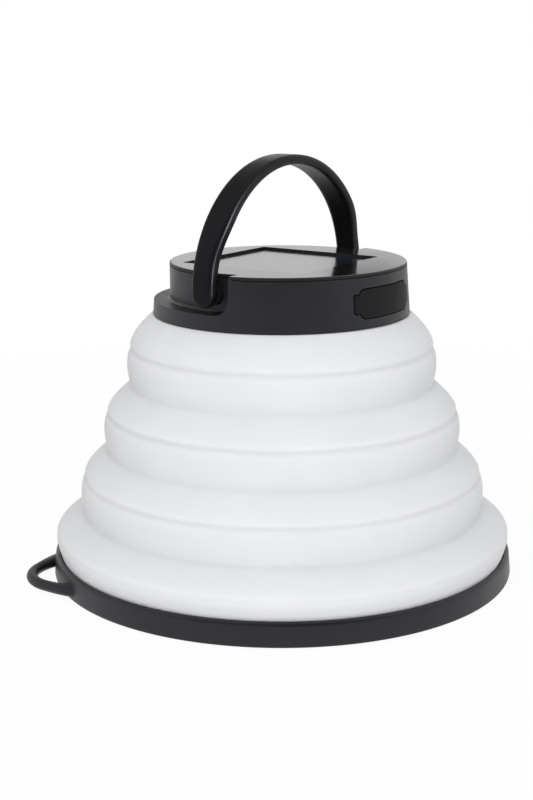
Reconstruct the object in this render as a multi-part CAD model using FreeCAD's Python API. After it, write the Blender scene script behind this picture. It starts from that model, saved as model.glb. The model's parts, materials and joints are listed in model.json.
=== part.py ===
import FreeCAD, Part
import math
import os

V = FreeCAD.Vector

# Collapsible camping lantern. Millimetres, +Z up, origin at the middle of the foot.
# X runs along the handle's pivot axis, -Y is the front with the port flap.

# Base
base_radius = 73.7          # base ring at the ground
base_height = 7.4
base_draft = 0.8            # radius lost up the ring's outer wall
base_rim = 1.0              # width of the ring's top edge
base_foot_wall = 2.4        # ring wall beside the base plate
base_edge_round = 0.8
plate_thick = 2.4
plate_gap = 0.2             # all round the base plate
lip_thick = 1.6             # inner lip that the screws clamp
lip_width = 9.5
base_clamp_thick = 2.0
base_clamp_inset = 3.2      # clamp ring inside the bellows' foot
base_screw_count = 6

# Hang loop on the base ring
loop_azimuth = -130.0       # degrees from the front, towards +X
loop_radius = 14.5
loop_reach = 9.1            # tip beyond the ring
loop_band = 3.2
loop_thick = 3.0
loop_rise = 0.6             # underside above the ground
loop_root = 5.0             # fillet into the ring
loop_edge_round = 0.9
loop_seat = 0.3             # its ends inside the ring's foot wall

# Bellows
rest_height = 82.6          # underside of the head above the ground
bellows_wall = 1.4          # measured along the level
flange_thick = 1.4
bellows_gap = 0.5           # to the base ring's wall
crease_count = 4
crease_inset = 2.6          # lowest crease inside the base radius
crease_rise = 3.5           # lowest crease above the base ring
crease_flare = 7.7          # top crease outside the head radius
crease_drop = 11.0          # top crease under the head
band_height = 12.0          # upright band under each crease
band_tuck = 0.3             # groove under a band, inside the crease above
band_bulge = 0.9
shoulder_lift = 1.6         # how early a shoulder turns upright
top_shoulder_lift = 3.9
mouth_flare = 0.4           # bellows' mouth outside the head's lower edge

# Head
head_radius = 40.2          # at its lower edge
head_height = 16.4
head_draft = 1.2            # radius lost up the wall
head_wall = 2.4
head_floor = 2.0
head_top_round = 0.5
head_foot_round = 0.5
step_width = 5.4            # step that takes the folded handle
step_height = 4.8           # its floor above the head's underside
step_root = 0.8             # fillet at the step's inner wall
notch_depth = 7.6           # front wall of the step, ahead of the pivot axis
notch_corner = 4.2

# Lid, seal and solar panel
lid_thick = 2.4
lid_rim = 1.6               # shell's rim round the lid's plug
lid_gap = 0.2
lid_edge_height = 0.9       # parting line under the lid's face
seal_thick = 0.5
seal_width = 0.8
panel_corner_margin = 2.1   # from the panel recess's corners to the lid's back edge
panel_sink = 0.8            # panel's face under the lid's face
panel_thick = 1.4
panel_gap = 0.25
panel_corner = 0.8
tape_thick = 0.3
tape_width = 4.0
tray_floor = 1.3            # lid under the panel
tray_wall = 1.8
tray_clear = 0.4            # tray to the shell's inside

# Handle
pivot_rise = 10.4           # pivot axis above the head's underside
strap_width = 7.5
leg_thick = 4.1
arch_thick = 3.1
leg_stand_off = 2.8         # leg's inner face outside the step's wall
fold_gap = 0.6              # folded arch to the step's wall
strap_round = 1.3
pivot_radius = 1.5
pivot_running_gap = 0.06
pivot_boss_radius = 3.4
pivot_boss_gap = 0.5        # boss to the leg
pivot_boss_inner = 0.7      # boss inside the shell's wall
pivot_bite = 2.6            # screw in the leg
pivot_head_radius = 2.6
pivot_head_thick = 1.8
pivot_washer_thick = 0.6
pivot_washer_radius = 2.9
pivot_washer_gap = 0.05

# Port flap
flap_half_length = 12.45
flap_offset = -1.25         # flap's middle along X
flap_height = 8.5
flap_rise = 3.3             # flap's lower edge above the head's underside
flap_corner = 2.0
flap_sunk = 1.7             # flap's inner face under the wall's surface
flap_proud = 0.2
flap_gap = 0.3
flap_tab_length = 1.8
flap_tab_height = 5.4
flap_anchor_length = 2.2
flap_plug_gap = 0.5         # plugs inside the port windows
port_wall = 2.2             # wall behind the flap
port_gap = 0.25             # sockets in their windows
port_set_back = 2.6         # sockets' mouths behind the pocket's deepest point
usb_a_place = -4.5          # sockets' middles, from the flap's middle
usb_a_width = 13.1
usb_a_height = 5.7
usb_a_length = 14.0
micro_usb_place = 7.25
micro_usb_width = 7.6
micro_usb_height = 2.9
micro_usb_length = 5.4
socket_skin = 0.35
tongue_thick = 1.8

# Power button and its switch
button_azimuth = 50.0
button_rise = 7.5           # button's middle above the head's underside
button_radius = 3.9
button_gap = 0.35
button_proud = 0.5
button_travel = 0.8
button_flange = 1.0         # flange outside the button's radius, and its thickness
button_flange_gap = 1.1     # flange inside the wall's inner face
button_stem_radius = 1.5
button_stem_length = 1.2
switch_spare = 0.1          # left between stem and plunger at full travel
switch_size = 6.0
switch_depth = 3.6
plunger_radius = 1.4
plunger_length = 1.0

# Main board
board_thick = 1.2
board_rise = 1.4            # standoffs
board_half_width = 27.0
board_wall_gap = 0.5        # to the pressed button
standoff_radius = 2.0
standoff_switch_gap = 0.3   # screw heads to the switch
standoff_edge = 1.5         # front row's middles inside the board's edge
standoff_back = 2.5         # back row, ahead of the board's back edge

# Battery
battery_height = 7.5
battery_pad_thick = 0.6
battery_front_gap = 1.5     # behind the board
battery_back_inset = 12.9   # back face inside the head's core
battery_wall_gap = 3.9      # corners to the shell's inside
battery_round = 2.5

# Light
led_board_thick = 1.6
led_count = 12
led_circle = 14.0
led_length = 3.5
led_width = 2.8
led_thick = 0.7
led_screw_place = 7.0       # from the middle
diffuser_gap = 3.4          # led board to the diffuser's wall
diffuser_wall = 1.5
diffuser_skirt = 3.6        # straight stretch under its flange
diffuser_crown = 5.5
diffuser_flange = 2.6
clamp_gap = 0.3
clamp_thick = 2.0
clamp_margin = 2.3          # clamp ring inside the head's radius
clamp_screw_inset = 1.0     # screw circle inside the step's wall
clamp_web = 3.4             # bellows' flange inside the clamp screws' holes
clamp_screw_azimuths = (66.0, 114.0, -114.0, -66.0)

# Screws and wires
screw_radius = 1.4
screw_head_radius = 2.7
screw_head_thick = 1.3
screw_clearance = 0.2
small_screw_radius = 0.8
small_screw_head = 1.6
thread_gap = 0.02
bore_spare = 0.4            # blind hole past a screw's tip
boss_wall = 1.2
wire_radius = 0.55
lead_gap = 0.7              # panel's lead inside its tape
wire_pitch = 2.6
wire_bend = 2.0
lead_hole_radius = 2.8
reach = 200.0               # cutters run past everything

# Levels and radii that follow
lip_top = plate_thick + lip_thick
ring_inner = base_radius - base_draft - base_rim
lip_inner = ring_inner - lip_width
base_screw_circle = lip_inner + lip_width / 2
flange_top = lip_top + flange_thick
base_clamp_top = flange_top + base_clamp_thick

head_top = rest_height + head_height
floor_top = rest_height + head_floor
step_floor = rest_height + step_height
step_wall = head_radius - step_width
core_inside = step_wall - head_wall
lid_line = head_top - lid_edge_height
lid_bottom = head_top - lid_thick
seat_level = lid_bottom - seal_thick
pivot_level = rest_height + pivot_rise

lid_front = head_radius - head_draft - lid_rim
lid_back = step_wall - lid_rim
lid_edge = notch_depth + lid_rim
panel_face = head_top - panel_sink
panel_bottom = panel_face - panel_thick
recess_floor = panel_bottom - tape_thick
recess_half = (lid_back - panel_corner_margin) / math.sqrt(2)
panel_half = recess_half - panel_gap
tape_hole_half = panel_half - tape_width
lead_row = tape_hole_half - wire_radius - lead_gap
board_back = lead_row - standoff_back

leg_inner = step_wall + leg_stand_off
leg_outer = leg_inner + leg_thick
arch_inner = step_wall + fold_gap
arch_outer = arch_inner + arch_thick

flap_low = rest_height + flap_rise
flap_middle = flap_low + flap_height / 2
flap_left = flap_offset - flap_half_length
flap_right = flap_offset + flap_half_length
usb_a_middle = flap_offset + usb_a_place
micro_usb_middle = flap_offset + micro_usb_place
board_bottom = floor_top + board_rise
board_top = board_bottom + board_thick
button_level = rest_height + button_rise

flange_bottom = rest_height - flange_thick
clamp_screw_circle = step_wall - clamp_screw_inset
diffuser_rim = clamp_screw_circle - screw_radius - screw_clearance - clamp_web - clamp_gap
diffuser_outer = diffuser_rim - diffuser_flange
diffuser_inner = diffuser_outer - diffuser_wall
led_board_radius = diffuser_inner - diffuser_gap
clamp_inner = diffuser_outer + clamp_gap
clamp_outer = head_radius - clamp_margin
clamp_bottom = flange_bottom - clamp_thick


def head_wall_radius(level):
    return head_radius - head_draft * (level - rest_height) / head_height


def around(azimuth, radius, level):
    turn = math.radians(azimuth)
    return V(radius * math.sin(turn), -radius * math.cos(turn), level)


def disc(radius, low, high, x=0.0, y=0.0):
    return Part.makeCylinder(radius, high - low, V(x, y, low))


def ring(inner, outer, low, high):
    return disc(outer, low, high).cut(disc(inner, low - 1, high + 1))


def slab(x0, x1, y0, y1, z0, z1):
    return Part.makeBox(x1 - x0, y1 - y0, z1 - z0, V(x0, y0, z0))


def edges_along(shape, axis):
    found = []
    for edge in shape.Edges:
        ends = edge.Vertexes
        if len(ends) == 2 and (ends[1].Point - ends[0].Point).cross(axis).Length < 1e-6:
            found.append(edge)
    return found


def soft_slab(x0, x1, y0, y1, z0, z1, corner, axis=V(0, 0, 1)):
    block = slab(x0, x1, y0, y1, z0, z1)
    return block.makeFillet(corner, edges_along(block, axis))


def round_at(shape, radius, level, smallest):
    rims = []
    for edge in shape.Edges:
        box = edge.BoundBox
        flat = abs(box.ZMin - level) < 1e-4 and abs(box.ZMax - level) < 1e-4
        if flat and box.XMax > smallest:
            rims.append(edge)
    return shape.makeFillet(radius, rims)


def line(a, b):
    return Part.LineSegment(a, b).toShape()


def arc(a, middle, b):
    return Part.Arc(a, middle, b).toShape()


def bend(a, corner, b):
    """Two tangent arcs from a to b, leaving a towards the corner and reaching b from it."""
    leave = (corner - a).normalize()
    arrive = (b - corner).normalize()
    span = b - a
    spread = 2 * (1 - leave.dot(arrive))
    pull = span.dot(leave + arrive)
    tangent = (math.sqrt(pull ** 2 + spread * span.dot(span)) - pull) / spread
    first, second = a + leave * tangent, b - arrive * tangent
    joint = (first + second) * 0.5
    arcs = []
    for start, apex, end in ((a, first, joint), (joint, second, b)):
        chord = (start + end) * 0.5
        half = (end - start).Length / 2
        rise = half * math.tan(math.acos(half / tangent) / 2)
        arcs.append(arc(start, chord + (apex - chord).normalize() * rise, end))
    return arcs


def turned(edges):
    profile = Part.Face(Part.Wire(edges))
    return profile.revolve(V(0, 0, 0), V(0, 0, 1), 360)


def turned_outline(points):
    corners = [V(r, 0, z) for r, z in points]
    return turned([line(a, b) for a, b in zip(corners, corners[1:] + corners[:1])])


def screw(head_face, direction, length, radius, head_radius, head_thick):
    """A pan-head screw whose head seats at head_face and whose shank runs along direction."""
    shank = Part.makeCylinder(radius, length, head_face, direction)
    head = Part.makeCylinder(head_radius, head_thick, head_face, -direction)
    top = head_face - direction * head_thick
    crown = [e for e in head.Edges if (e.BoundBox.Center - top).Length < 1e-6]
    return shank.fuse(head.makeFillet(head_thick * 0.5, crown)).removeSplitter()


def base_screw_places():
    return [around(360.0 * i / base_screw_count, base_screw_circle, 0) for i in range(base_screw_count)]


def make_loop():
    """Flat hang loop: a round tongue with a hole, with filleted roots in the base ring's wall."""
    middle = V(base_radius + loop_reach - loop_radius, 0, loop_rise)
    wall = base_radius - base_draft
    root_reach = wall + loop_root
    tongue_reach = loop_radius + loop_root
    along = (root_reach ** 2 + middle.x ** 2 - tongue_reach ** 2) / (2 * middle.x)
    across = math.sqrt(root_reach ** 2 - along ** 2)
    seat = base_radius - base_foot_wall + loop_seat
    hole_radius = loop_radius - loop_band
    hole_along = (seat ** 2 + middle.x ** 2 - hole_radius ** 2) / (2 * middle.x)
    hole_across = math.sqrt(seat ** 2 - hole_along ** 2)
    outline, ends, tips = [], [], []
    for side in (-1, 1):
        root = V(along, side * across, 0)
        lift = V(0, 0, loop_rise)
        on_ring = root * (wall / root_reach) + lift
        on_tongue = middle + (root + lift - middle) * (loop_radius / tongue_reach)
        halfway = (on_ring + on_tongue) * 0.5 - root - lift
        bend = root + lift + halfway * (loop_root / halfway.Length)
        outline.append(arc(on_tongue, bend, on_ring))
        end = root * (seat / root_reach)
        inner_end = V(hole_along, side * hole_across, 0)
        between = (end + inner_end) * 0.5
        outline.append(line(on_ring, end + lift))
        outline.append(arc(end + lift, between * (seat / between.Length) + lift, inner_end + lift))
        ends.append(inner_end + lift)
        tips.append(on_tongue)
    outline.append(arc(tips[0], middle + V(loop_radius, 0, 0), tips[1]))
    outline.append(arc(ends[0], middle + V(hole_radius, 0, 0), ends[1]))
    loop = Part.Face(Part.Wire(Part.sortEdges(outline)[0])).extrude(V(0, 0, loop_thick))
    rims = [e for e in loop.Edges if e.BoundBox.ZLength < 1e-6 and isinstance(e.Curve, Part.Circle)
            and (e.Curve.Center - V(0, 0, e.Curve.Center.z)).Length > seat - loop_radius]
    loop = loop.makeFillet(loop_edge_round, rims)
    loop.rotate(V(0, 0, 0), V(0, 0, 1), loop_azimuth - 90)
    return loop


def make_base_ring():
    ring_body = turned_outline([
        (base_radius, 0), (base_radius - base_draft, base_height), (ring_inner, base_height),
        (ring_inner, lip_top), (lip_inner, lip_top), (lip_inner, plate_thick),
        (base_radius - base_foot_wall, plate_thick), (base_radius - base_foot_wall, 0)])
    ring_body = round_at(ring_body, base_edge_round, 0, base_radius - 0.1)
    ring_body = round_at(ring_body, base_rim / 2, base_height, base_radius - base_draft - 0.1)
    for place in base_screw_places():
        ring_body = ring_body.cut(disc(screw_radius + screw_clearance, 0, lip_top + 1, place.x, place.y))
    return ring_body.fuse(make_loop()).removeSplitter()


def make_base_plate():
    plate = disc(base_radius - base_foot_wall - plate_gap, 0, plate_thick)
    for place in base_screw_places():
        plate = plate.cut(disc(screw_radius + screw_clearance, -1, plate_thick + 1, place.x, place.y))
        plate = plate.cut(disc(screw_head_radius + screw_clearance, -1, screw_head_thick, place.x, place.y))
    return plate


def make_base_clamp():
    clamp = ring(lip_inner + bellows_gap, ring_inner - base_clamp_inset, flange_top, base_clamp_top)
    for place in base_screw_places():
        clamp = clamp.cut(disc(screw_radius + thread_gap, flange_top - 1, base_clamp_top + 1, place.x, place.y))
    return clamp


def make_base_screws():
    length = base_clamp_top - screw_head_thick - bore_spare
    screws = []
    for place in base_screw_places():
        seat = V(place.x, place.y, screw_head_thick)
        screws.append(screw(seat, V(0, 0, 1), length, screw_radius, screw_head_radius, screw_head_thick))
    return Part.makeCompound(screws)


def bellows_side(shift):
    """One face of the bellows, top to bottom, moved inwards by shift. Returns its edges and its ends."""
    low = V(base_radius - crease_inset - shift, 0, base_height + crease_rise)
    high = V(head_radius + crease_flare - shift, 0, rest_height - crease_drop)
    step = (low - high) * (1.0 / (crease_count - 1))
    top_level = rest_height if shift == 0 else flange_bottom
    foot_level = lip_top if shift == 0 else flange_top
    start = V(head_radius + mouth_flare, 0, top_level)
    groove, lift = start, top_shoulder_lift
    edges = []
    for number in range(crease_count):
        crease = high + step * number
        edges += bend(groove, crease + V(0, 0, lift), crease)
        if number < crease_count - 1:
            groove = crease + V(-band_tuck, 0, -band_height)
            edges.append(arc(crease, (crease + groove) * 0.5 + V(band_bulge, 0, 0), groove))
        lift = shoulder_lift
    foot = V(ring_inner - bellows_gap - shift, 0, foot_level)
    halfway = (crease + foot) * 0.5
    halfway.x = max(crease.x, foot.x) - abs(foot.x - crease.x) * 0.2
    edges.append(arc(crease, halfway, foot))
    return edges, start, foot


def make_bellows():
    outer, mouth, foot = bellows_side(0)
    inner, inner_mouth, inner_foot = bellows_side(bellows_wall)
    head_flange = diffuser_rim + clamp_gap
    foot_flange = lip_inner + bellows_gap
    closing = [
        line(foot, V(foot_flange, 0, lip_top)),
        line(V(foot_flange, 0, lip_top), V(foot_flange, 0, flange_top)),
        line(V(foot_flange, 0, flange_top), inner_foot),
        line(inner_mouth, V(head_flange, 0, flange_bottom)),
        line(V(head_flange, 0, flange_bottom), V(head_flange, 0, rest_height)),
        line(V(head_flange, 0, rest_height), mouth)]
    skin = turned(Part.sortEdges(outer + inner + closing)[0])
    for place in base_screw_places():
        skin = skin.cut(disc(screw_radius + screw_clearance, lip_top - 1, flange_top + 1, place.x, place.y))
    for azimuth in clamp_screw_azimuths:
        place = around(azimuth, clamp_screw_circle, 0)
        skin = skin.cut(disc(screw_radius + screw_clearance, flange_bottom - 1, rest_height + 1, place.x, place.y))
    return skin


def lid_outline(gap, low, high):
    """Plan of the lid's plug: a wide front and a narrower back inside the handle's step, grown by gap."""
    front = disc(lid_front + gap, low, high)
    front = front.common(slab(-reach, reach, -reach, -lid_edge + gap, low - 1, high + 1))
    return front.fuse(disc(lid_back + gap, low, high)).removeSplitter()


def wall_band(outside, inside, low, high):
    """A band that follows the head's drafted wall, between two offsets from its surface."""
    top, bottom = head_wall_radius(high), head_wall_radius(low)
    return turned_outline([
        (bottom + outside, low), (top + outside, high), (top - inside, high), (bottom - inside, low)])


def front_outline(x0, x1, z0, z1, corner):
    return soft_slab(x0, x1, -reach, -head_radius * 0.5, z0, z1, corner, V(0, 1, 0))


def flap_outline(gap):
    main = front_outline(flap_left - gap, flap_right + gap,
                         flap_low - gap, flap_low + flap_height + gap, flap_corner + gap)
    tab_half = flap_tab_height / 2 + gap
    tab = front_outline(flap_left - flap_tab_length - gap, flap_left + flap_corner,
                        flap_middle - tab_half, flap_middle + tab_half, flap_tab_length * 0.4)
    return main.fuse(tab).removeSplitter()


def anchor_outline(gap):
    half = flap_tab_height / 2 + gap
    start = flap_right + flap_gap - gap
    return front_outline(start, flap_right + flap_gap + flap_anchor_length + gap,
                         flap_middle - half, flap_middle + half, flap_tab_length * 0.4)


def socket_mouth():
    return -(head_wall_radius(flap_middle) - flap_sunk - flap_gap - port_set_back)


def port_window(place, width, low, high, gap):
    back = -(step_wall - step_width)
    return slab(place - width / 2 - gap, place + width / 2 + gap, -reach, back, low - gap, high + gap)


def make_handle_recess():
    """Cutter for the step round the head's back half, with rounded ends ahead of the pivots."""
    block = slab(-reach, reach, -notch_depth, reach, step_floor, reach)
    corner = [e for e in edges_along(block, V(1, 0, 0))
              if abs(e.BoundBox.YMin + notch_depth) < 1e-6 and abs(e.BoundBox.ZMin - step_floor) < 1e-6]
    block = block.makeFillet(notch_corner, corner)
    core = turned([
        line(V(0, 0, step_floor), V(step_wall + step_root, 0, step_floor)),
        arc(V(step_wall + step_root, 0, step_floor),
            V(step_wall + step_root * (1 - math.sqrt(0.5)), 0, step_floor + step_root * (1 - math.sqrt(0.5))),
            V(step_wall, 0, step_floor + step_root)),
        line(V(step_wall, 0, step_floor + step_root), V(step_wall, 0, head_top - head_top_round)),
        arc(V(step_wall, 0, head_top - head_top_round),
            V(step_wall - head_top_round * (1 - math.sqrt(0.5)), 0,
              head_top - head_top_round * (1 - math.sqrt(0.5))),
            V(step_wall - head_top_round, 0, head_top)),
        line(V(step_wall - head_top_round, 0, head_top), V(0, 0, head_top)),
        line(V(0, 0, head_top), V(0, 0, step_floor))])
    return block.cut(core)


def flange_face():
    return head_wall_radius(button_level) - head_wall - button_flange_gap


def board_radius():
    return flange_face() - button_flange - button_travel - board_wall_gap


def switch_face():
    tip = flange_face() - button_flange - button_stem_length - button_travel - switch_spare
    return tip - plunger_length


def standoff_places():
    switch_back = around(button_azimuth, switch_face() - switch_depth, 0)
    corner = switch_back - around(button_azimuth + 90, switch_size / 2, 0)
    x = corner.x - small_screw_head - standoff_switch_gap
    front = math.sqrt((board_radius() - standoff_edge) ** 2 - x ** 2)
    return [V(side * x, -y, floor_top) for side in (-1, 1) for y in (lead_row, front)]


def make_head_body():
    """The head's outside, lid and shell in one."""
    body = turned_outline([
        (0, rest_height), (head_radius, rest_height), (head_radius - head_draft, head_top), (0, head_top)])
    body = round_at(body, head_top_round, head_top, head_radius - head_draft - 0.1)
    body = round_at(body, head_foot_round, rest_height, head_radius - 0.1)
    return body.cut(make_handle_recess())


def make_head_shell():
    shell = make_head_body().cut(slab(-reach, reach, -reach, reach, lid_line - lid_gap, reach))

    # Inside, with a thicker wall behind the flap
    bottom, top = head_wall_radius(floor_top) - head_wall, head_wall_radius(head_top) - head_wall
    inside = turned_outline([(0, floor_top), (bottom, floor_top), (top, head_top), (0, head_top)])
    front = slab(-reach, reach, -reach, -notch_depth - head_wall, floor_top - 1, head_top + 1)
    inside = inside.common(front.fuse(disc(core_inside, floor_top - 1, head_top + 1)))
    port_block_half = flap_half_length + flap_anchor_length + flap_gap + boss_wall
    port_block = wall_band(0, flap_sunk + flap_gap + port_wall, floor_top, head_top).common(
        slab(flap_offset - port_block_half, flap_offset + port_block_half, -reach, 0, floor_top - 1, head_top + 1))
    shell = shell.cut(inside.cut(port_block))

    # Bosses: handle pivots, clamp screws, board standoffs
    for side in (-1, 1):
        start = V(side * (core_inside - pivot_boss_inner), 0, pivot_level)
        length = leg_inner - pivot_boss_gap - core_inside + pivot_boss_inner
        shell = shell.fuse(Part.makeCylinder(pivot_boss_radius, length, start, V(side, 0, 0)))
    clamp_bore_top = step_floor - bore_spare
    for azimuth in clamp_screw_azimuths:
        place = around(azimuth, clamp_screw_circle, 0)
        shell = shell.fuse(disc(screw_radius + boss_wall, floor_top - 0.5, step_floor, place.x, place.y))
    for place in standoff_places():
        shell = shell.fuse(disc(standoff_radius, floor_top - 0.5, board_bottom, place.x, place.y))

    # Lid seat, flap pocket and port windows
    shell = shell.cut(lid_outline(lid_gap, seat_level, head_top + 1))
    pocket = wall_band(reach, flap_sunk + flap_gap, rest_height, head_top)
    shell = shell.cut(flap_outline(flap_gap).fuse(anchor_outline(0)).common(pocket))
    shell = shell.cut(port_window(usb_a_middle, usb_a_width, board_top, board_top + usb_a_height, port_gap))
    shell = shell.cut(port_window(micro_usb_middle, micro_usb_width, board_top,
                                  board_top + micro_usb_height, port_gap))

    # Bores
    for side in (-1, 1):
        shell = shell.cut(Part.makeCylinder(pivot_radius + pivot_running_gap, leg_inner,
                                            V(side * step_wall * 0.5, 0, pivot_level), V(side, 0, 0)))
    button_start = around(button_azimuth, step_wall - step_width, button_level)
    outwards = around(button_azimuth, 1, 0)
    shell = shell.cut(Part.makeCylinder(button_radius + button_gap, head_radius, button_start, outwards))
    for azimuth in clamp_screw_azimuths:
        place = around(azimuth, clamp_screw_circle, 0)
        shell = shell.cut(disc(screw_radius + thread_gap, rest_height - 1, clamp_bore_top, place.x, place.y))
    for place in standoff_places():
        shell = shell.cut(disc(small_screw_radius + thread_gap, floor_top - head_floor / 2,
                               board_bottom + 1, place.x, place.y))
    for x in (-led_screw_place, led_screw_place):
        shell = shell.cut(disc(small_screw_radius + thread_gap, rest_height - 1,
                               floor_top - bore_spare, x, 0))
    shell = shell.cut(disc(lead_hole_radius, rest_height - 1, floor_top + 1, 0, -lead_row))
    return shell.removeSplitter()


def make_lid():
    lid = make_head_body().common(slab(-reach, reach, -reach, reach, lid_line, reach))
    lid = lid.fuse(lid_outline(0, lid_bottom, lid_line))
    tray_half = recess_half + tray_wall
    tray = slab(-tray_half, tray_half, -tray_half, tray_half, recess_floor - tray_floor, lid_bottom)
    tray = tray.common(disc(core_inside - tray_clear, recess_floor - tray_floor - 1, head_top))
    lid = lid.fuse(tray)
    recess = soft_slab(-recess_half, recess_half, -recess_half, recess_half,
                       recess_floor, head_top + 1, panel_corner)
    lid = lid.cut(recess)
    for x in (-wire_pitch / 2, wire_pitch / 2):
        lid = lid.cut(disc(wire_radius + thread_gap, 0, reach, x, -lead_row))
    return lid.removeSplitter()


def make_lid_seal():
    return lid_outline(0, seat_level, lid_bottom).cut(lid_outline(-seal_width, seat_level - 1, lid_bottom + 1))


def make_panel():
    return soft_slab(-panel_half, panel_half, -panel_half, panel_half,
                     panel_bottom, panel_face, panel_corner - panel_gap)


def make_panel_tape():
    frame = slab(-panel_half, panel_half, -panel_half, panel_half, recess_floor, panel_bottom)
    return frame.cut(slab(-tape_hole_half, tape_hole_half, -tape_hole_half, tape_hole_half,
                          recess_floor - 1, panel_bottom + 1))


def make_handle():
    """Strap bent to half an ellipse, with round leg ends about the pivot axis."""
    foot = -strap_width / 2

    def half_ellipse(span, rise):
        if span > rise:
            whole = Part.Ellipse(V(0, 0, 0), span, rise)
            return Part.ArcOfEllipse(whole, 0, math.pi).toShape()
        whole = Part.Ellipse(V(0, rise, 0), V(-span, 0, 0), V(0, 0, 0))
        return Part.ArcOfEllipse(whole, -math.pi / 2, math.pi / 2).toShape()

    outline = [half_ellipse(leg_outer, arch_outer), half_ellipse(leg_inner, arch_inner)]
    for side in (-1, 1):
        outline.append(line(V(side * leg_outer, 0, 0), V(side * leg_outer, foot, 0)))
        outline.append(line(V(side * leg_outer, foot, 0), V(side * leg_inner, foot, 0)))
        outline.append(line(V(side * leg_inner, foot, 0), V(side * leg_inner, 0, 0)))
    strap = Part.Face(Part.Wire(Part.sortEdges(outline)[0])).extrude(V(0, 0, strap_width))
    strap.translate(V(0, 0, -strap_width / 2))
    strap.rotate(V(0, 0, 0), V(1, 0, 0), 90)
    side_view = slab(-reach, reach, -strap_width / 2, strap_width / 2, 0, reach).fuse(
        Part.makeCylinder(strap_width / 2, 2 * reach, V(-reach, 0, 0), V(1, 0, 0)))
    strap = strap.common(side_view).removeSplitter()
    strap = strap.makeFillet(strap_round, [e for e in strap.Edges if e.BoundBox.YLength < strap_width * 0.9
                                           or e.BoundBox.ZMin < 0])
    for side in (-1, 1):
        strap = strap.cut(Part.makeCylinder(pivot_radius + thread_gap, pivot_bite + bore_spare + 1,
                                            V(side * (leg_inner - 1), 0, 0), V(side, 0, 0)))
    strap.translate(V(0, 0, pivot_level))
    return strap


def pivot_washer_face():
    return core_inside - pivot_boss_inner - pivot_washer_gap


def make_pivot_screws():
    seat = pivot_washer_face() - pivot_washer_thick
    screws = []
    for side in (-1, 1):
        screws.append(screw(V(side * seat, 0, pivot_level), V(side, 0, 0), leg_inner + pivot_bite - seat,
                            pivot_radius, pivot_head_radius, pivot_head_thick))
    return Part.makeCompound(screws)


def make_pivot_washers():
    washers = []
    for side in (-1, 1):
        face = V(side * pivot_washer_face(), 0, pivot_level)
        washer = Part.makeCylinder(pivot_washer_radius, pivot_washer_thick, face, V(-side, 0, 0))
        washers.append(washer.cut(Part.makeCylinder(pivot_radius + thread_gap, reach, V(0, 0, pivot_level),
                                                    V(side, 0, 0))))
    return Part.makeCompound(washers)


def make_flap():
    skin = wall_band(flap_proud, flap_sunk, rest_height, head_top)
    flap = flap_outline(0).common(skin)
    plug_end = socket_mouth() - flap_plug_gap
    inner = wall_band(0, head_radius * 0.3, rest_height, head_top)
    for place, width, height in ((usb_a_middle, usb_a_width, usb_a_height),
                                 (micro_usb_middle, micro_usb_width, micro_usb_height)):
        half = width / 2 - flap_plug_gap
        plug = slab(place - half, place + half, -reach, plug_end,
                    board_top + flap_plug_gap, board_top + height - flap_plug_gap)
        flap = flap.fuse(plug.common(inner))
    return flap.removeSplitter()


def make_flap_anchor():
    return anchor_outline(0).common(wall_band(0, flap_sunk + flap_gap, rest_height, head_top))


def make_usb_a():
    low, high = board_top, board_top + usb_a_height
    mouth = socket_mouth()
    half = usb_a_width / 2
    can = slab(usb_a_middle - half, usb_a_middle + half, mouth, mouth + usb_a_length, low, high)
    room = slab(usb_a_middle - half + socket_skin, usb_a_middle + half - socket_skin, mouth - 1,
                mouth + usb_a_length - socket_skin, low + socket_skin, high - socket_skin)
    tongue = slab(usb_a_middle - half + 3 * socket_skin, usb_a_middle + half - 3 * socket_skin,
                  mouth + socket_skin, mouth + usb_a_length,
                  high - 2 * socket_skin - tongue_thick, high - 2 * socket_skin)
    return can.cut(room).fuse(tongue).removeSplitter()


def make_micro_usb():
    low, high = board_top, board_top + micro_usb_height
    mouth = socket_mouth()
    half = micro_usb_width / 2
    bevel = micro_usb_height * 0.35

    def plan(inset):
        corners = [(-half + inset, high - inset), (half - inset, high - inset), (half - inset, low + bevel),
                   (half - bevel, low + inset), (-half + bevel, low + inset), (-half + inset, low + bevel)]
        points = [V(micro_usb_middle + x, 0, z) for x, z in corners]
        return Part.Face(Part.makePolygon(points + points[:1]))

    can = plan(0).extrude(V(0, micro_usb_length, 0))
    room = plan(socket_skin).extrude(V(0, micro_usb_length - socket_skin, 0))
    tongue = slab(micro_usb_middle - half / 2, micro_usb_middle + half / 2, 0, micro_usb_length,
                  high - micro_usb_height / 2, high - micro_usb_height / 4)
    tongue = tongue.cut(slab(-reach, reach, -1, socket_skin, 0, reach))
    socket = can.cut(room).fuse(tongue).removeSplitter()
    socket.translate(V(0, mouth, 0))
    return socket


def make_board():
    board = slab(-board_half_width, board_half_width, -reach, -board_back, board_bottom, board_top)
    board = board.common(disc(board_radius(), board_bottom - 1, board_top + 1))
    for place in standoff_places():
        board = board.cut(disc(small_screw_radius + screw_clearance, 0, reach, place.x, place.y))
    return board


def make_board_screws():
    length = board_top - floor_top + head_floor / 2 - bore_spare
    return Part.makeCompound([
        screw(V(place.x, place.y, board_top), V(0, 0, -1), length, small_screw_radius, small_screw_head,
              small_screw_head * 0.7) for place in standoff_places()])


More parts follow.
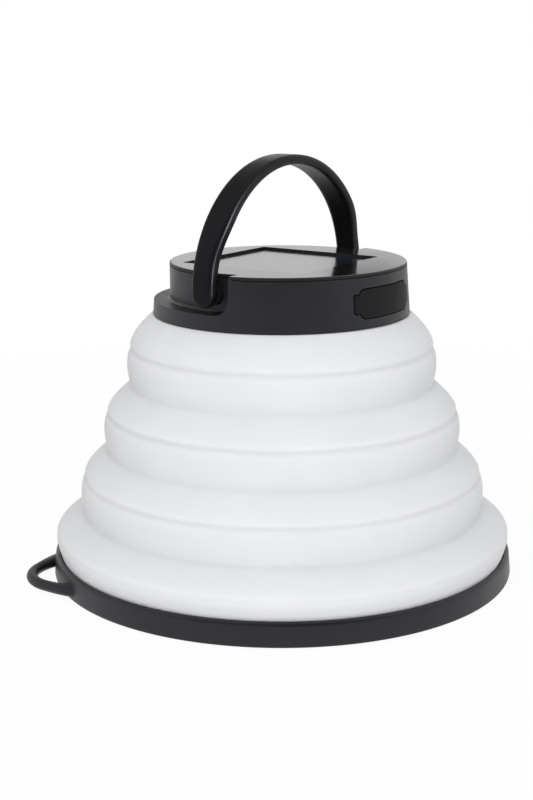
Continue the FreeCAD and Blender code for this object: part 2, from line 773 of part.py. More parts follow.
def make_button():
    """Cap through the wall, with a flange that keeps it in and a stem towards the switch."""
    outwards = around(button_azimuth, 1, 0)
    inner = flange_face() - button_flange
    outer = head_wall_radius(button_level) + button_proud
    cap = Part.makeCylinder(button_radius, outer - inner, outwards * inner, outwards)
    rim = [e for e in cap.Edges if (e.BoundBox.Center - outwards * outer).Length < 1e-6]
    cap = cap.makeFillet(button_proud, rim)
    flange = Part.makeCylinder(button_radius + button_flange, button_flange, outwards * inner, outwards)
    stem = Part.makeCylinder(button_stem_radius, button_stem_length + button_flange / 2,
                             outwards * (inner - button_stem_length), outwards)
    button = cap.fuse([flange, stem]).removeSplitter()
    button.translate(V(0, 0, button_level))
    return button


def make_power_switch():
    outwards = around(button_azimuth, 1, 0)
    face = switch_face()
    half = switch_size / 2
    body = slab(-half, half, -face, -face + switch_depth, board_top, board_top + switch_size)
    body.rotate(V(0, 0, 0), V(0, 0, 1), button_azimuth)
    plunger = Part.makeCylinder(plunger_radius, plunger_length + switch_depth / 2,
                                outwards * (face - switch_depth / 2) + V(0, 0, button_level), outwards)
    return body.fuse(plunger).removeSplitter()


def battery_box():
    front = -board_back + battery_front_gap
    back = core_inside - battery_back_inset
    half = math.sqrt((core_inside - battery_wall_gap) ** 2 - back ** 2)
    return half, front, back


def make_battery_pad():
    half, front, back = battery_box()
    return slab(-half + battery_round, half - battery_round, front + battery_round, back - battery_round,
                floor_top, floor_top + battery_pad_thick)


def make_battery():
    half, front, back = battery_box()
    low = floor_top + battery_pad_thick
    cell = slab(-half, half, front, back, low, low + battery_height)
    return cell.makeFillet(battery_round, edges_along(cell, V(1, 0, 0)))


def wire(points):
    """A round wire along points, with an arc at each corner."""
    edges = []
    start = points[0]
    for before, corner, after in zip(points, points[1:], points[2:]):
        back = (before - corner).normalize()
        ahead = (after - corner).normalize()
        into, out = corner + back * wire_bend, corner + ahead * wire_bend
        middle = corner + (back + ahead) * (wire_bend * (1 - math.sqrt(0.5)))
        edges.append(line(start, into))
        edges.append(arc(into, middle, out))
        start = out
    edges.append(line(start, points[-1]))
    section = Part.Wire(Part.Circle(points[0], points[1] - points[0], wire_radius).toShape())
    return Part.Wire(edges).makePipeShell([section], True, False)


def wire_pair(route):
    return Part.makeCompound([wire([V(side * wire_pitch / 2, 0, 0) + point for point in route])
                              for side in (-1, 1)])


def make_panel_lead():
    return wire_pair([V(0, -lead_row, panel_bottom), V(0, -lead_row, board_top)])


def make_led_lead():
    return wire_pair([V(0, -lead_row, rest_height), V(0, -lead_row, board_bottom)])


def make_battery_lead():
    half, front, back = battery_box()
    x = half / 2
    level = floor_top + battery_pad_thick + battery_height / 2
    y = front - battery_front_gap - wire_bend - wire_radius
    return wire_pair([V(x, front, level + wire_bend), V(x, y, level + wire_bend), V(x, y, board_top)])


def make_upper_clamp():
    clamp = ring(clamp_inner, clamp_outer, clamp_bottom, flange_bottom)
    for azimuth in clamp_screw_azimuths:
        place = around(azimuth, clamp_screw_circle, 0)
        clamp = clamp.cut(disc(screw_radius + screw_clearance, 0, reach, place.x, place.y))
    return clamp


def make_clamp_screws():
    length = step_floor - 2 * bore_spare - clamp_bottom
    return Part.makeCompound([
        screw(around(azimuth, clamp_screw_circle, clamp_bottom), V(0, 0, 1), length, screw_radius,
              screw_head_radius, screw_head_thick) for azimuth in clamp_screw_azimuths])


def make_led_board():
    board = disc(led_board_radius, rest_height - led_board_thick, rest_height)
    for x in (-led_screw_place, led_screw_place):
        board = board.cut(disc(small_screw_radius + screw_clearance, 0, reach, x, 0))
    return board


def make_led_chips():
    top = rest_height - led_board_thick
    chips = []
    for number in range(led_count):
        chip = slab(-led_width / 2, led_width / 2, -led_circle - led_length / 2, -led_circle + led_length / 2,
                    top - led_thick, top)
        chip.rotate(V(0, 0, 0), V(0, 0, 1), 360.0 * number / led_count)
        chips.append(chip)
    return Part.makeCompound(chips)


def make_led_screws():
    seat = rest_height - led_board_thick
    length = floor_top - 2 * bore_spare - seat
    return Part.makeCompound([
        screw(V(x, 0, seat), V(0, 0, 1), length, small_screw_radius, small_screw_head, small_screw_head * 0.7)
        for x in (-led_screw_place, led_screw_place)])


def make_diffuser():
    shoulder = flange_bottom - diffuser_skirt

    def crown(radius, low):
        rise = shoulder - low
        bend = (radius ** 2 + rise ** 2) / (2 * rise)
        half = radius / 2
        return V(half, 0, low + bend - math.sqrt(bend ** 2 - half ** 2)), V(0, 0, low)

    outer_middle, outer_low = crown(diffuser_outer, shoulder - diffuser_crown)
    inner_middle, inner_low = crown(diffuser_inner, shoulder - diffuser_crown + diffuser_wall)
    corners = [V(diffuser_inner, 0, shoulder), V(diffuser_inner, 0, rest_height), V(diffuser_rim, 0, rest_height),
               V(diffuser_rim, 0, flange_bottom), V(diffuser_outer, 0, flange_bottom),
               V(diffuser_outer, 0, shoulder)]
    edges = [line(a, b) for a, b in zip(corners, corners[1:])]
    edges.append(arc(corners[-1], outer_middle, outer_low))
    edges.append(line(outer_low, inner_low))
    edges.append(arc(inner_low, inner_middle, corners[0]))
    return turned(edges)


def main():
    os.makedirs("parts", exist_ok=True)
    pieces = {
        "base_ring": make_base_ring,
        "base_plate": make_base_plate,
        "lower_clamp_ring": make_base_clamp,
        "base_screws": make_base_screws,
        "bellows": make_bellows,
        "head_shell": make_head_shell,
        "upper_clamp_ring": make_upper_clamp,
        "clamp_screws": make_clamp_screws,
        "top_lid": make_lid,
        "lid_seal": make_lid_seal,
        "solar_panel": make_panel,
        "panel_tape": make_panel_tape,
        "main_board": make_board,
        "board_screws": make_board_screws,
        "usb_a_socket": make_usb_a,
        "micro_usb_socket": make_micro_usb,
        "power_switch": make_power_switch,
        "battery_pack": make_battery,
        "battery_pad": make_battery_pad,
        "led_board": make_led_board,
        "led_chips": make_led_chips,
        "led_screws": make_led_screws,
        "diffuser": make_diffuser,
        "panel_lead": make_panel_lead,
        "led_lead": make_led_lead,
        "battery_lead": make_battery_lead,
        "flap_anchor": make_flap_anchor,
        "handle": make_handle,
        "pivot_screws": make_pivot_screws,
        "pivot_washers": make_pivot_washers,
        "port_flap": make_flap,
        "power_button": make_button,
    }
    for name, make in pieces.items():
        shape = make()
        if not shape.isValid():
            raise ValueError(name + " is not a valid solid")
        shape.exportStep("parts/" + name + ".step")
        print(name, len(shape.Solids), round(shape.Volume, 1))


main()
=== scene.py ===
import bpy
import json
import math
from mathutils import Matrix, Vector


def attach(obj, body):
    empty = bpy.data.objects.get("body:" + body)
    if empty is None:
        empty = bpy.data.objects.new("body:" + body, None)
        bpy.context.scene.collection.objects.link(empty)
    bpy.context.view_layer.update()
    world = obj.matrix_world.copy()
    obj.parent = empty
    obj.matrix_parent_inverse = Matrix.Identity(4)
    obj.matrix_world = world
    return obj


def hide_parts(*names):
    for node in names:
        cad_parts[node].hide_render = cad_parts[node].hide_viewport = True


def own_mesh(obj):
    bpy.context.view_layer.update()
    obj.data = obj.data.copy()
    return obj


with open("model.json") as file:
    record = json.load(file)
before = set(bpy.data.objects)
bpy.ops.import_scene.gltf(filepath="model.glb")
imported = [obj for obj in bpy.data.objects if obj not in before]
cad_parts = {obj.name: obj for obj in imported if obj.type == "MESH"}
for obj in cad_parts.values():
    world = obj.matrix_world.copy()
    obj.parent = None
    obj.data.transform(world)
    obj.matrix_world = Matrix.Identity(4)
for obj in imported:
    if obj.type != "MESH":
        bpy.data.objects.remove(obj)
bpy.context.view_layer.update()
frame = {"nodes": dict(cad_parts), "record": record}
nodes = frame["nodes"]
slotOf = {part["node"]: part["material_slot"] for part in frame["record"]["subparts"]}
print("frame loaded:", len(nodes), "nodes")


# small helpers

def deselectAll():
    if bpy.context.object and bpy.context.object.mode == "EDIT":
        bpy.ops.object.mode_set(mode="OBJECT")
    bpy.ops.object.select_all(action="DESELECT")


def settle(name):
    # back to object mode, with the name set and the place in the mesh
    if bpy.context.object.mode == "EDIT":
        bpy.ops.object.mode_set(mode="OBJECT")
    piece = bpy.context.object
    piece.name = name
    piece.data.name = name
    bpy.ops.object.transform_apply(location=True, rotation=True, scale=True)
    return piece


def applyModifier(piece, kind, name, **values):
    modifier = piece.modifiers.new(name, kind)
    for key, value in values.items():
        setattr(modifier, key, value)
    bpy.ops.object.modifier_apply(modifier=name)


def turnRings(profile, points):
    # a circle drawn along a profile of (radius, level) steps; stays in edit mode
    radius, level = profile[0]
    deselectAll()
    bpy.ops.mesh.primitive_circle_add(vertices=points, radius=radius, fill_type="NOTHING",
                                      location=(0, 0, level))
    bpy.ops.object.mode_set(mode="EDIT")
    bpy.ops.mesh.select_all(action="SELECT")
    for nextRadius, nextLevel in profile[1:]:
        bpy.ops.mesh.extrude_region_move(TRANSFORM_OT_translate={"value": (0, 0, nextLevel - level)})
        share = nextRadius / radius
        bpy.ops.transform.resize(value=(share, share, 1), center_override=(0, 0, nextLevel))
        radius, level = nextRadius, nextLevel


def faceOutwards():
    bpy.ops.mesh.select_all(action="SELECT")
    bpy.ops.mesh.normals_make_consistent(inside=False)


def cornerArc(middle, radius, start, end, count):
    # points on a rounded corner of a profile, angles in degrees from outwards
    turns = [math.radians(start + (end - start) * step / count) for step in range(count + 1)]
    return [(middle[0] + radius * math.cos(turn), middle[1] + radius * math.sin(turn)) for turn in turns]


# shader helpers

def addNode(tree, kind, values=None, **settings):
    node = tree.nodes.new(kind)
    for key, value in settings.items():
        setattr(node, key, value)
    for key, value in (values or {}).items():
        node.inputs[key].default_value = value
    return node


def link(tree, source, target):
    tree.links.new(source, target)


def linkSurface(tree, shader):
    output = next(node for node in tree.nodes if node.type == "OUTPUT_MATERIAL")
    link(tree, shader, output.inputs["Surface"])


def newGroup(name, inputs, outputs):
    group = bpy.data.node_groups.new(name, "ShaderNodeTree")
    for label, kind, value in inputs:
        socket = group.interface.new_socket(label, in_out="INPUT", socket_type=kind)
        if value is not None:
            socket.default_value = value
    for label, kind in outputs:
        group.interface.new_socket(label, in_out="OUTPUT", socket_type=kind)
    return group, group.nodes.new("NodeGroupInput"), group.nodes.new("NodeGroupOutput")


grainSettings = {
    "detail": 3.0, "roughness": 0.6,       # of the fine moulding texture
    "slowScale": 0.03, "slowDetail": 1.0,  # the slow waves, as a share of the fine scale
}


def makeGrainGroup(s):
    # fine moulding texture plus a slow unevenness of the face
    group, entry, exitNode = newGroup("mouldGrain", [
        ("Vector", "NodeSocketVector", None),
        ("Scale", "NodeSocketFloat", 1800.0),
        ("Unevenness", "NodeSocketFloat", 0.3)], [("Height", "NodeSocketFloat")])
    fine = addNode(group, "ShaderNodeTexNoise", {"Detail": s["detail"], "Roughness": s["roughness"]})
    slowScale = addNode(group, "ShaderNodeMath", {1: s["slowScale"]}, operation="MULTIPLY")
    slow = addNode(group, "ShaderNodeTexNoise", {"Detail": s["slowDetail"]})
    slowPart = addNode(group, "ShaderNodeMath", operation="MULTIPLY")
    total = addNode(group, "ShaderNodeMath", operation="ADD")
    link(group, entry.outputs["Vector"], fine.inputs["Vector"])
    link(group, entry.outputs["Scale"], fine.inputs["Scale"])
    link(group, entry.outputs["Scale"], slowScale.inputs[0])
    link(group, entry.outputs["Vector"], slow.inputs["Vector"])
    link(group, slowScale.outputs[0], slow.inputs["Scale"])
    link(group, slow.outputs["Fac"], slowPart.inputs[0])
    link(group, entry.outputs["Unevenness"], slowPart.inputs[1])
    link(group, fine.outputs["Fac"], total.inputs[0])
    link(group, slowPart.outputs[0], total.inputs[1])
    link(group, total.outputs[0], exitNode.inputs["Height"])
    return group


handlingSettings = {
    "smudge": {"Detail": 4.0, "Roughness": 0.55, "Distortion": 0.4},
    "smudgeRange": {"From Min": 0.35, "From Max": 0.7},
    "speckScale": 22.0,                    # specks are this many times finer than smudges
    "speck": {"Detail": 1.0},
    "speckRange": {"From Min": 0.66, "From Max": 0.74, "To Max": 0.35},
}


def makeHandlingGroup(s):
    # soft smudges and a few specks, which shift the colour and the gloss a little
    group, entry, exitNode = newGroup("handlingMarks", [
        ("Vector", "NodeSocketVector", None),
        ("Clean", "NodeSocketColor", (0.01, 0.01, 0.01, 1)),
        ("Handled", "NodeSocketColor", (0.02, 0.02, 0.02, 1)),
        ("Scale", "NodeSocketFloat", 60.0),
        ("Gloss", "NodeSocketFloat", 0.4),
        ("Dull", "NodeSocketFloat", 0.55)], [("Color", "NodeSocketColor"), ("Roughness", "NodeSocketFloat")])
    smudge = addNode(group, "ShaderNodeTexNoise", s["smudge"])
    spread = addNode(group, "ShaderNodeMapRange", s["smudgeRange"])
    speckScale = addNode(group, "ShaderNodeMath", {1: s["speckScale"]}, operation="MULTIPLY")
    speck = addNode(group, "ShaderNodeTexNoise", s["speck"])
    speckMask = addNode(group, "ShaderNodeMapRange", s["speckRange"])
    mask = addNode(group, "ShaderNodeMath", operation="MAXIMUM")
    tint = addNode(group, "ShaderNodeMix", data_type="RGBA")
    gloss = addNode(group, "ShaderNodeMix", data_type="FLOAT")
    link(group, entry.outputs["Vector"], smudge.inputs["Vector"])
    link(group, entry.outputs["Scale"], smudge.inputs["Scale"])
    link(group, smudge.outputs["Fac"], spread.inputs["Value"])
    link(group, entry.outputs["Scale"], speckScale.inputs[0])
    link(group, entry.outputs["Vector"], speck.inputs["Vector"])
    link(group, speckScale.outputs[0], speck.inputs["Scale"])
    link(group, speck.outputs["Fac"], speckMask.inputs["Value"])
    link(group, spread.outputs["Result"], mask.inputs[0])
    link(group, speckMask.outputs["Result"], mask.inputs[1])
    link(group, mask.outputs[0], tint.inputs["Factor"])
    link(group, entry.outputs["Clean"], tint.inputs["A"])
    link(group, entry.outputs["Handled"], tint.inputs["B"])
    link(group, mask.outputs[0], gloss.inputs["Factor"])
    link(group, entry.outputs["Gloss"], gloss.inputs["A"])
    link(group, entry.outputs["Dull"], gloss.inputs["B"])
    link(group, tint.outputs["Result"], exitNode.inputs["Color"])
    link(group, gloss.outputs["Result"], exitNode.inputs["Roughness"])
    return group


grainGroup = makeGrainGroup(grainSettings)
handlingGroup = makeHandlingGroup(handlingSettings)

bumpStrength = 0.5   # the same for all finishes
edgeSamples = 6

# one row of values for each finish of the record
finishes = {
    "black_plastic": dict(clean=(0.0072, 0.0072, 0.0080), handled=(0.0112, 0.0112, 0.0121),
                          gloss=0.37, dull=0.49, marks=70.0, grain=2400.0, uneven=0.3, bump=0.00003,
                          specular=0.42, edge=0.0003, tint=(0.88, 0.88, 1.0)),
    "black_lid": dict(clean=(0.008, 0.008, 0.0086), handled=(0.013, 0.013, 0.0137), gloss=0.075, dull=0.13,
                      marks=55.0, grain=2600.0, uneven=0.4, bump=0.000004, specular=0.5, edge=0.0002,
                      sideGloss=0.50, sideSpecular=0.24, sideTurn=(0.5, 0.95)),
    "black_handle": dict(clean=(0.0035, 0.0035, 0.0039), handled=(0.006, 0.006, 0.0065),
                         gloss=0.30, dull=0.40, marks=70.0, grain=2600.0, uneven=0.3, bump=0.00001,
                         specular=0.12, tint=(0.88, 0.88, 1.0)),
    "black_button": dict(clean=(0.006, 0.006, 0.0065), handled=(0.011, 0.011, 0.0115), gloss=0.38, dull=0.50,
                         marks=160.0, grain=3000.0, uneven=0.2, bump=0.00002, specular=0.3),
    "black_rubber": dict(clean=(0.005, 0.005, 0.0055), handled=(0.009, 0.009, 0.0095), gloss=0.52, dull=0.66,
                         marks=90.0, grain=3000.0, uneven=0.3, bump=0.00004, specular=0.17,
                         tint=(0.88, 0.88, 1.0)),
    "white_plastic": dict(clean=(0.80, 0.80, 0.79), handled=(0.72, 0.72, 0.71), gloss=0.40, dull=0.55,
                          marks=60.0, grain=2200.0, uneven=0.3, bump=0.00003),
    "frosted_plastic": dict(clean=(0.86, 0.86, 0.85), handled=(0.80, 0.80, 0.79), gloss=0.45, dull=0.60,
                            marks=60.0, grain=3200.0, uneven=0.2, bump=0.00004, transmission=0.35),
    "foam_tape": dict(clean=(0.06, 0.06, 0.06), handled=(0.03, 0.03, 0.03), gloss=0.80, dull=0.95,
                      marks=700.0, grain=1500.0, uneven=0.2, bump=0.0002),
    "circuit_board": dict(clean=(0.012, 0.085, 0.030), handled=(0.020, 0.120, 0.045), gloss=0.25, dull=0.40,
                          marks=300.0, grain=900.0, uneven=0.2, bump=0.00003),
    "led_substrate": dict(clean=(0.80, 0.80, 0.79), handled=(0.70, 0.70, 0.69), gloss=0.35, dull=0.50,
                          marks=120.0, grain=1800.0, uneven=0.2, bump=0.00002),
    "led_lens": dict(clean=(0.82, 0.66, 0.16), handled=(0.74, 0.55, 0.10), gloss=0.20, dull=0.35,
                     marks=500.0, grain=1500.0, uneven=0.2, bump=0.00002),
    "switch_plastic": dict(clean=(0.025, 0.025, 0.026), handled=(0.05, 0.05, 0.05), gloss=0.40, dull=0.55,
                           marks=260.0, grain=2400.0, uneven=0.2, bump=0.00002),
    "battery_foil": dict(clean=(0.60, 0.61, 0.63), handled=(0.48, 0.49, 0.51), gloss=0.24, dull=0.42,
                         marks=120.0, grain=260.0, uneven=0.8, bump=0.0004, metallic=1.0),
    "plated_steel": dict(clean=(0.66, 0.65, 0.62), handled=(0.55, 0.54, 0.51), gloss=0.22, dull=0.38,
                         marks=220.0, grain=1600.0, uneven=0.2, bump=0.00002, metallic=1.0),
    "steel": dict(clean=(0.52, 0.52, 0.53), handled=(0.40, 0.40, 0.41), gloss=0.26, dull=0.45,
                  marks=240.0, grain=1800.0, uneven=0.2, bump=0.00003, metallic=1.0),
    "wire_insulation": dict(clean=(0.30, 0.012, 0.012), handled=(0.22, 0.008, 0.008), gloss=0.35, dull=0.50,
                            marks=200.0, grain=1600.0, uneven=0.3, bump=0.00003),
}


def rgba(colour):
    return (colour[0], colour[1], colour[2], 1.0)


def startMaterial(name):
    material = bpy.data.materials.new(name)
    material.use_nodes = True
    tree = material.node_tree
    tree.nodes.clear()
    shader = tree.nodes.new("ShaderNodeBsdfPrincipled")
    tree.nodes.new("ShaderNodeOutputMaterial")
    linkSurface(tree, shader.outputs["BSDF"])
    place = tree.nodes.new("ShaderNodeTexCoord")
    return material, tree, shader, place


def makeFinish(name, values):
    material, tree, shader, place = startMaterial(name)
    marks = addNode(tree, "ShaderNodeGroup", node_tree=handlingGroup)
    marks.inputs["Clean"].default_value = rgba(values["clean"])
    marks.inputs["Handled"].default_value = rgba(values["handled"])
    marks.inputs["Scale"].default_value = values["marks"]
    marks.inputs["Gloss"].default_value = values["gloss"]
    marks.inputs["Dull"].default_value = values["dull"]
    grain = addNode(tree, "ShaderNodeGroup", node_tree=grainGroup)
    grain.inputs["Scale"].default_value = values["grain"]
    grain.inputs["Unevenness"].default_value = values["uneven"]
    bump = addNode(tree, "ShaderNodeBump", {"Strength": bumpStrength, "Distance": values["bump"]})
    if "edge" in values:
        edge = addNode(tree, "ShaderNodeBevel", {"Radius": values["edge"]}, samples=edgeSamples)
        link(tree, edge.outputs["Normal"], bump.inputs["Normal"])
    link(tree, place.outputs["Object"], marks.inputs["Vector"])
    link(tree, place.outputs["Object"], grain.inputs["Vector"])
    link(tree, marks.outputs["Color"], shader.inputs["Base Color"])
    if "sideTurn" in values:
        # polished where the face looks up, duller on its sides
        low, high = values["sideTurn"]
        face = tree.nodes.new("ShaderNodeNewGeometry")
        parts = tree.nodes.new("ShaderNodeSeparateXYZ")
        level = addNode(tree, "ShaderNodeMapRange", {"From Min": low, "From Max": high})
        rough = addNode(tree, "ShaderNodeMix", {"A": values["sideGloss"]}, data_type="FLOAT")
        link(tree, face.outputs["Normal"], parts.inputs[0])
        link(tree, parts.outputs["Z"], level.inputs["Value"])
        link(tree, level.outputs["Result"], rough.inputs["Factor"])
        link(tree, marks.outputs["Roughness"], rough.inputs["B"])
        link(tree, rough.outputs["Result"], shader.inputs["Roughness"])
        mirror = addNode(tree, "ShaderNodeMapRange", {
            "From Min": low, "From Max": high,
            "To Min": values["sideSpecular"], "To Max": values["specular"]})
        link(tree, parts.outputs["Z"], mirror.inputs["Value"])
        link(tree, mirror.outputs["Result"], shader.inputs["Specular IOR Level"])
    else:
        link(tree, marks.outputs["Roughness"], shader.inputs["Roughness"])
    link(tree, grain.outputs["Height"], bump.inputs["Height"])
    link(tree, bump.outputs["Normal"], shader.inputs["Normal"])
    shader.inputs["Metallic"].default_value = values.get("metallic", 0.0)
    shader.inputs["Specular IOR Level"].default_value = values.get("specular", 0.5)
    shader.inputs["Specular Tint"].default_value = rgba(values.get("tint", (1.0, 1.0, 1.0)))
    shader.inputs["Transmission Weight"].default_value = values.get("transmission", 0.0)
    return material


siliconeFinish = {
    "clean": (0.715, 0.72, 0.733), "handled": (0.695, 0.70, 0.713),
    "gloss": 0.50, "dull": 0.62, "marks": 45.0, "specular": 0.3,
    "grain": 1400.0, "uneven": 0.5, "bump": 0.00004,
    "depth": 0.0035, "glow": 0.8,          # how far light spreads in the wall, and how much of it
    "spread": (1.0, 0.95, 0.9),            # that depth's share for red, green and blue
}


def makeSilicone(values):
    material = makeFinish("white_silicone", values)
    shader = next(node for node in material.node_tree.nodes if node.type == "BSDF_PRINCIPLED")
    shader.inputs["Subsurface Weight"].default_value = values["glow"]
    shader.inputs["Subsurface Scale"].default_value = values["depth"]
    shader.inputs["Subsurface Radius"].default_value = values["spread"]
    return material


solarFinish = {
    "cell": (0.010, 0.012, 0.022), "cellToo": (0.014, 0.017, 0.030), "gap": (0.035, 0.038, 0.045),
    "unit": 100.0,                         # the pattern is measured in centimetres
    "pitch": 1.087, "strip": 0.5435,       # cell width and finger spacing
    "line": 0.012, "lineBlur": 0.2,
    "speckle": {"Scale": 900.0, "Detail": 2.0},
    "gloss": 0.11, "glossRange": 0.1,
    "bump": {"Strength": 0.3, "Distance": 0.00002},
    "coat": 0.18, "coatRoughness": 0.04,
}


def makeSolar(values):
    material, tree, shader, place = startMaterial("solar_cell")
    cells = addNode(tree, "ShaderNodeTexBrick", {
        "Color1": rgba(values["cell"]), "Color2": rgba(values["cellToo"]), "Mortar": rgba(values["gap"]),
        "Scale": values["unit"], "Mortar Size": values["line"], "Mortar Smooth": values["lineBlur"],
        "Brick Width": values["pitch"], "Row Height": values["strip"]}, offset=0.0)
    speckle = addNode(tree, "ShaderNodeTexNoise", values["speckle"])
    gloss = addNode(tree, "ShaderNodeMapRange", {
        "To Min": values["gloss"], "To Max": values["gloss"] + values["glossRange"]})
    bump = addNode(tree, "ShaderNodeBump", values["bump"])
    link(tree, place.outputs["Object"], cells.inputs["Vector"])
    link(tree, place.outputs["Object"], speckle.inputs["Vector"])
    link(tree, cells.outputs["Color"], shader.inputs["Base Color"])
    link(tree, speckle.outputs["Fac"], gloss.inputs["Value"])
    link(tree, gloss.outputs["Result"], shader.inputs["Roughness"])
    link(tree, speckle.outputs["Fac"], bump.inputs["Height"])
    link(tree, bump.outputs["Normal"], shader.inputs["Normal"])
    shader.inputs["Coat Weight"].default_value = values["coat"]
    shader.inputs["Coat Roughness"].default_value = values["coatRoughness"]
    return material


materials = {name: makeFinish(name, values) for name, values in finishes.items()}
materials["white_silicone"] = makeSilicone(siliconeFinish)
materials["solar_cell"] = makeSolar(solarFinish)
for name, node in nodes.items():
    node.data.materials.clear()
    node.data.materials.append(materials[slotOf[name]])
print("finishes made:", len(materials))


# silicone cone, drawn down ring by ring from its upper flange to its foot

bellowsSettings = {
    "points": 160,
    "wall": 0.0014,
    "topLevel": 0.0826, "footLevel": 0.004,
    "topFlange": 0.0288, "footFlange": 0.0629,
    "mouth": 0.0406, "mouthStep": 0.0004, "foot": 0.0701,
    "creases": ((0.0479, 0.0720), (0.0556, 0.0515), (0.0634, 0.0313), (0.0727, 0.0128)),
    "bandHeight": 0.0114, "bandTuck": 0.0003, "bandBulge": 0.0010, "footBulge": 0.0002,
    "shoulderLift": 0.0030, "topShoulderLift": 0.0042,
    "creaseDips": (0.00052, 0.00052, 0.00052, 0.00018), "creaseWidth": 0.0009,
    "curveSteps": 18,                      # points on each shoulder and each band
    "step": 0.00045, "softening": 8,       # spacing of the rings, and rounds of softening over them
    "smoothTurn": 50.0,                    # degrees; sharper edges stay sharp
    "keep": 0.0206 / 0.0786,               # height left when the head is down
}


def packedShares(count):
    # shares of the way along a line, packed towards both ends
    return [0.5 - 0.5 * math.cos(math.pi * step / count) for step in range(1, count + 1)]


def curvePoints(start, control, end, count):
    # quadratic curve
    found = []
    for t in packedShares(count):
        a, b, c = (1 - t) ** 2, 2 * t * (1 - t), t * t
        found.append((a * start[0] + b * control[0] + c * end[0], a * start[1] + b * control[1] + c * end[1]))
    return found


def bandPoints(start, end, bulge, count):
    # a straight band that swells towards its middle
    found = []
    for t in packedShares(count):
        found.append((start[0] + (end[0] - start[0]) * t + 4 * t * (1 - t) * bulge,
                      start[1] + (end[1] - start[1]) * t))
    return found


def evenSteps(points, spacing):
    # the same line with its points at even distances
    found, left = [points[0]], spacing
    for start, end in zip(points, points[1:]):
        length = math.dist(start, end)
        while left <= length:
            t = left / length
            found.append((start[0] + (end[0] - start[0]) * t, start[1] + (end[1] - start[1]) * t))
            left += spacing
        left -= length
    return found + [points[-1]]


def softened(points, rounds):
    # each point drawn towards its two neighbours, the ends kept
    for turn in range(rounds):
        inner = [((a[0] + 2 * b[0] + c[0]) / 4, (a[1] + 2 * b[1] + c[1]) / 4)
                 for a, b, c in zip(points, points[1:], points[2:])]
        points = [points[0]] + inner + [points[-1]]
    return points


def bellowsProfile(s):
    count = s["curveSteps"]
    start = Vector((s["mouth"], s["topLevel"]))
    skin = [tuple(start)]
    lift = s["topShoulderLift"]
    for crease in [Vector(place) for place in s["creases"][:-1]]:
        skin += curvePoints(start, crease + Vector((0, lift)), crease, count)
        start = crease + Vector((-s["bandTuck"], -s["bandHeight"]))
        skin += bandPoints(crease, start, s["bandBulge"], count)
        lift = s["shoulderLift"]
    crease = Vector(s["creases"][-1])
    skin += curvePoints(start, crease + Vector((0, lift)), crease, count)
    skin += bandPoints(crease, Vector((s["foot"], s["footLevel"])), s["footBulge"], count)
    profile = [(s["topFlange"], s["topLevel"]), (s["mouth"] - s["mouthStep"], s["topLevel"])]
    for radius, level in softened(evenSteps(skin, s["step"]), s["softening"]):
        for place, dip in zip(s["creases"], s["creaseDips"]):
            radius -= dip * math.exp(-((level - place[1]) / s["creaseWidth"]) ** 2)
        profile.append((radius, level))
    return profile + [(s["footFlange"], s["footLevel"])]


def makeBellows(s):
    turnRings(bellowsProfile(s), s["points"])
    faceOutwards()
    piece = settle("siliconeCone")
    applyModifier(piece, "SOLIDIFY", "wall", thickness=s["wall"], offset=-1.0)
    bpy.ops.object.shade_smooth_by_angle(angle=math.radians(s["smoothTurn"]))
    piece.data.materials.append(materials["white_silicone"])
    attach(piece, "base")
    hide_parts("bellows")
    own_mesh(piece)
    return piece


cone = makeBellows(bellowsSettings)
print("cone made:", len(cone.data.polygons), "faces")


# base ring with its hang loop

ringSettings = {
    "points": 256,
    "outer": 0.0735, "top": 0.0730, "height": 0.0074,
    "footRound": 0.0007, "rimRound": 0.0013, "innerRound": 0.0002,
    "footSteps": 8, "rimSteps": 9, "innerSteps": 4,
    "draft": 2,                                 # degrees that the outer wall leans in
    "inner": 0.0715, "lipInner": 0.0624, "lipTop": 0.0040, "lipBottom": 0.0024,
    "footInner": 0.0713,
    "loopTurn": -130.0, "loopMiddle": 0.0683,   # degrees from the front, and distance from the axis
    "loopRadius": 0.0128, "loopBand": 0.0035, "loopThick": 0.0033, "loopLevel": 0.0023,
    "loopReach": 84.0, "loopSteps": 42,         # degrees to each side of the tip
    "rootStart": 38.0, "rootGrowth": 1.5,       # the arms grow wider from this angle on
    "loopPoints": 28,
    "merge": 0.000005, "smoothTurn": 35.0,
}


def ringProfile(s):
    foot, rim, inner, draft = s["footRound"], s["rimRound"], s["innerRound"], s["draft"]
    profile = [(s["lipInner"], s["lipTop"]), (s["inner"], s["lipTop"])]
    profile += cornerArc((s["inner"] + inner, s["height"] - inner), inner, 180, 90, s["innerSteps"])
    profile += cornerArc((s["top"] - rim, s["height"] - rim), rim, 90, draft, s["rimSteps"])
    profile += cornerArc((s["outer"] - foot, foot), foot, draft, -90, s["footSteps"])
    profile += [(s["footInner"], 0.0), (s["footInner"], s["lipBottom"]), (s["lipInner"], s["lipBottom"]),
                (s["lipInner"], s["lipTop"])]
    return profile


